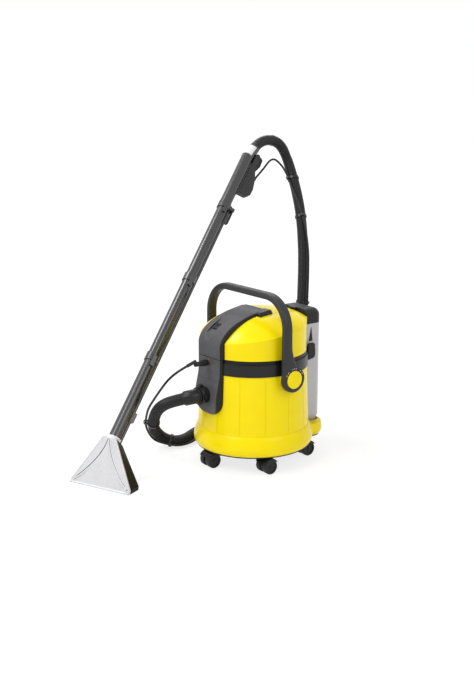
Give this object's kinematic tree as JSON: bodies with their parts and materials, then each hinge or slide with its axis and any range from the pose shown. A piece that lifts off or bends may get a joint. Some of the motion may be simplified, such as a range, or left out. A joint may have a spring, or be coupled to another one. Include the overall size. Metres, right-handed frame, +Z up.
{
  "type": "canister spray-extraction cleaner",
  "caption": "Canister spray-extraction cleaner: drum on casters with a lift-off head, rear clean-water tank, carry handle, hose and spray wand with a floor nozzle.",
  "frame": {"origin": "on the floor, under the middle of the machine and wand together (hoses and what is on them left out)", "axes": "+Z up, -Y towards the machine's front, +X towards its right-hand side seen from behind"},
  "size_m": [0.6189, 1.0155, 0.9345],
  "materials": {
    "yellow": "smooth gloss moulding",
    "grey": "fine-grained satin",
    "black": "satin",
    "tank": null,
    "clear": null,
    "hose": "ribbed",
    "tyre": "matt",
    "seal": "matt",
    "metal": "satin",
    "motor": "cast",
    "filter": "pleated paper and fleece",
    "float": "smooth",
    "rocker": "gloss",
    "brass": "turned",
    "white": "translucent white"
  },
  "bodies": {
    "machine": {"drum_shell": "yellow", "base_skirt": "yellow", "base_plate": "black", "base_screws": "metal", "rim_band": "black", "handle_pivots": "black", "console_lower": "grey", "console_middle": "grey", "suction_inlet": "black", "spray_socket": "brass", "pump": "black", "feed_tube": "float", "pressure_tube": "float", "valve_seat": "seal", "inlet_elbow": "black", "suction_hose": "hose", "spray_hose": "hose", "spray_plug": "black", "hose_clips": "black", "wand_tube_lower": "black", "wand_tube_middle": "black", "wand_tube_upper": "black", "grip_tube": "black", "spray_gun": "black", "nozzle_body": "black", "nozzle_cover": "clear", "spray_tip": "brass"},
    "head": {"console_upper": "grey", "head_cover": "yellow", "head_chassis": "black", "head_seal": "seal", "head_screws": "metal", "motor": "motor", "float_cage": "black", "cartridge_filter": "filter"},
    "fan": {"fan_rotor": "motor"},
    "float": {"float_ball": "float"},
    "rocker_suction": {"switch_suction": "rocker"},
    "rocker_spray": {"switch_spray": "rocker"},
    "handle": {"carry_handle": "grey", "handle_discs": "yellow"},
    "tank": {"tank_body": "tank"},
    "lid": {"tank_lid": "grey"},
    "valve": {"tank_valve": "black"},
    "catch": {"tank_catch": "black"},
    "trigger": {"trigger": "black"},
    "lock": {"trigger_lock": "grey"},
    "vent": {"vent_slider": "white"},
    "clamp_lever": {"coupling_lever": "black"},
    "tip_knob": {"nozzle_knob": "black"},
    "swivel_1": {"caster_housing_1": "black"},
    "wheels_1": {"caster_wheels_1": "tyre"},
    "swivel_2": {"caster_housing_2": "black"},
    "wheels_2": {"caster_wheels_2": "tyre"},
    "swivel_3": {"caster_housing_3": "black"},
    "wheels_3": {"caster_wheels_3": "tyre"},
    "swivel_4": {"caster_housing_4": "black"},
    "wheels_4": {"caster_wheels_4": "tyre"},
    "swivel_5": {"caster_housing_5": "black"},
    "wheels_5": {"caster_wheels_5": "tyre"}
  },
  "joints": [
    {"name": "head_lift", "type": "slide", "parent": "machine", "child": "head", "axis": [0, 0, 1], "range_m": [0, 0.03]},
    {"name": "fan_spin", "type": "hinge", "parent": "head", "child": "fan", "pos_m": [0.11187, 0.13395, 0.36], "axis": [0, 0, 1], "continuous": true},
    {"name": "float_rise", "type": "slide", "parent": "head", "child": "float", "axis": [0, 0, 1], "range_m": [0, 0.016]},
    {"name": "suction_switch_rock", "type": "hinge", "parent": "head", "child": "rocker_suction", "pos_m": [0.09567, -0.01186, 0.41702], "axis": [-1, 0, 0], "range_deg": [0, 11]},
    {"name": "spray_switch_rock", "type": "hinge", "parent": "head", "child": "rocker_spray", "pos_m": [0.10807, -0.01186, 0.41702], "axis": [-1, 0, 0], "range_deg": [0, 11]},
    {"name": "handle_swing", "type": "hinge", "parent": "machine", "child": "handle", "pos_m": [0.11187, 0.11396, 0.281], "axis": [1, 0, 0], "range_deg": [-40, 15]},
    {"name": "tank_tip", "type": "hinge", "parent": "machine", "child": "tank", "pos_m": [0.11187, 0.31795, 0.074], "axis": [-1, 0, 0], "range_deg": [0, 15]},
    {"name": "lid_open", "type": "hinge", "parent": "tank", "child": "lid", "pos_m": [0.11187, 0.33346, 0.39815], "axis": [-1, 0, 0], "range_deg": [0, 100]},
    {"name": "valve_press", "type": "slide", "parent": "tank", "child": "valve", "axis": [0, 0, 1], "range_m": [0, 0.004], "stiffness_N_per_m": 300},
    {"name": "catch_swing", "type": "hinge", "parent": "machine", "child": "catch", "pos_m": [0.19017, 0.26195, 0.313], "axis": [0, 0, -1], "range_deg": [0, 30]},
    {"name": "trigger_press", "type": "hinge", "parent": "machine", "child": "trigger", "pos_m": [-0.26219, 0.41309, 0.85559], "axis": [-0.9099, 0.0419, -0.4126], "range_deg": [0, 9], "stiffness_Nm_per_rad": 0.4},
    {"name": "lock_slide", "type": "slide", "parent": "trigger", "child": "lock", "axis": [-0.2845, 0.6607, 0.6947], "range_m": [0, 0.008]},
    {"name": "vent_turn", "type": "hinge", "parent": "machine", "child": "vent", "pos_m": [-0.27247, 0.39035, 0.86933], "axis": [-0.3443, 0.789, 0.5088], "range_deg": [0, 34]},
    {"name": "clamp_open", "type": "hinge", "parent": "machine", "child": "clamp_lever", "pos_m": [-0.19917, 0.26605, 0.70166], "axis": [0.9099, -0.0419, 0.4126], "range_deg": [0, 60]},
    {"name": "tip_knob_turn", "type": "hinge", "parent": "machine", "child": "tip_knob", "pos_m": [0.03401, -0.32107, 0.088], "axis": [-0.3659, 0.8495, -0.38], "range_deg": [0, 180]},
    {"name": "caster_1_swivel", "type": "hinge", "parent": "machine", "child": "swivel_1", "pos_m": [0.11187, -0.03204, 0.05], "axis": [0, 0, 1], "continuous": true},
    {"name": "caster_1_roll", "type": "hinge", "parent": "swivel_1", "child": "wheels_1", "pos_m": [0.11187, -0.04505, 0.022], "axis": [1, 0, 0], "continuous": true},
    {"name": "caster_2_swivel", "type": "hinge", "parent": "machine", "child": "swivel_2", "pos_m": [0.25072, 0.06884, 0.05], "axis": [0, 0, 1], "continuous": true},
    {"name": "caster_2_roll", "type": "hinge", "parent": "swivel_2", "child": "wheels_2", "pos_m": [0.25072, 0.05584, 0.022], "axis": [1, 0, 0], "continuous": true},
    {"name": "caster_3_swivel", "type": "hinge", "parent": "machine", "child": "swivel_3", "pos_m": [0.19768, 0.23207, 0.05], "axis": [0, 0, 1], "continuous": true},
    {"name": "caster_3_roll", "type": "hinge", "parent": "swivel_3", "child": "wheels_3", "pos_m": [0.19768, 0.24507, 0.022], "axis": [1, 0, 0], "continuous": true},
    {"name": "caster_4_swivel", "type": "hinge", "parent": "machine", "child": "swivel_4", "pos_m": [0.02605, 0.23207, 0.05], "axis": [0, 0, 1], "continuous": true},
    {"name": "caster_4_roll", "type": "hinge", "parent": "swivel_4", "child": "wheels_4", "pos_m": [0.02605, 0.24507, 0.022], "axis": [1, 0, 0], "continuous": true},
    {"name": "caster_5_swivel", "type": "hinge", "parent": "machine", "child": "swivel_5", "pos_m": [-0.02699, 0.06884, 0.05], "axis": [0, 0, 1], "continuous": true},
    {"name": "caster_5_roll", "type": "hinge", "parent": "swivel_5", "child": "wheels_5", "pos_m": [-0.02699, 0.05584, 0.022], "axis": [1, 0, 0], "continuous": true}
  ]
}
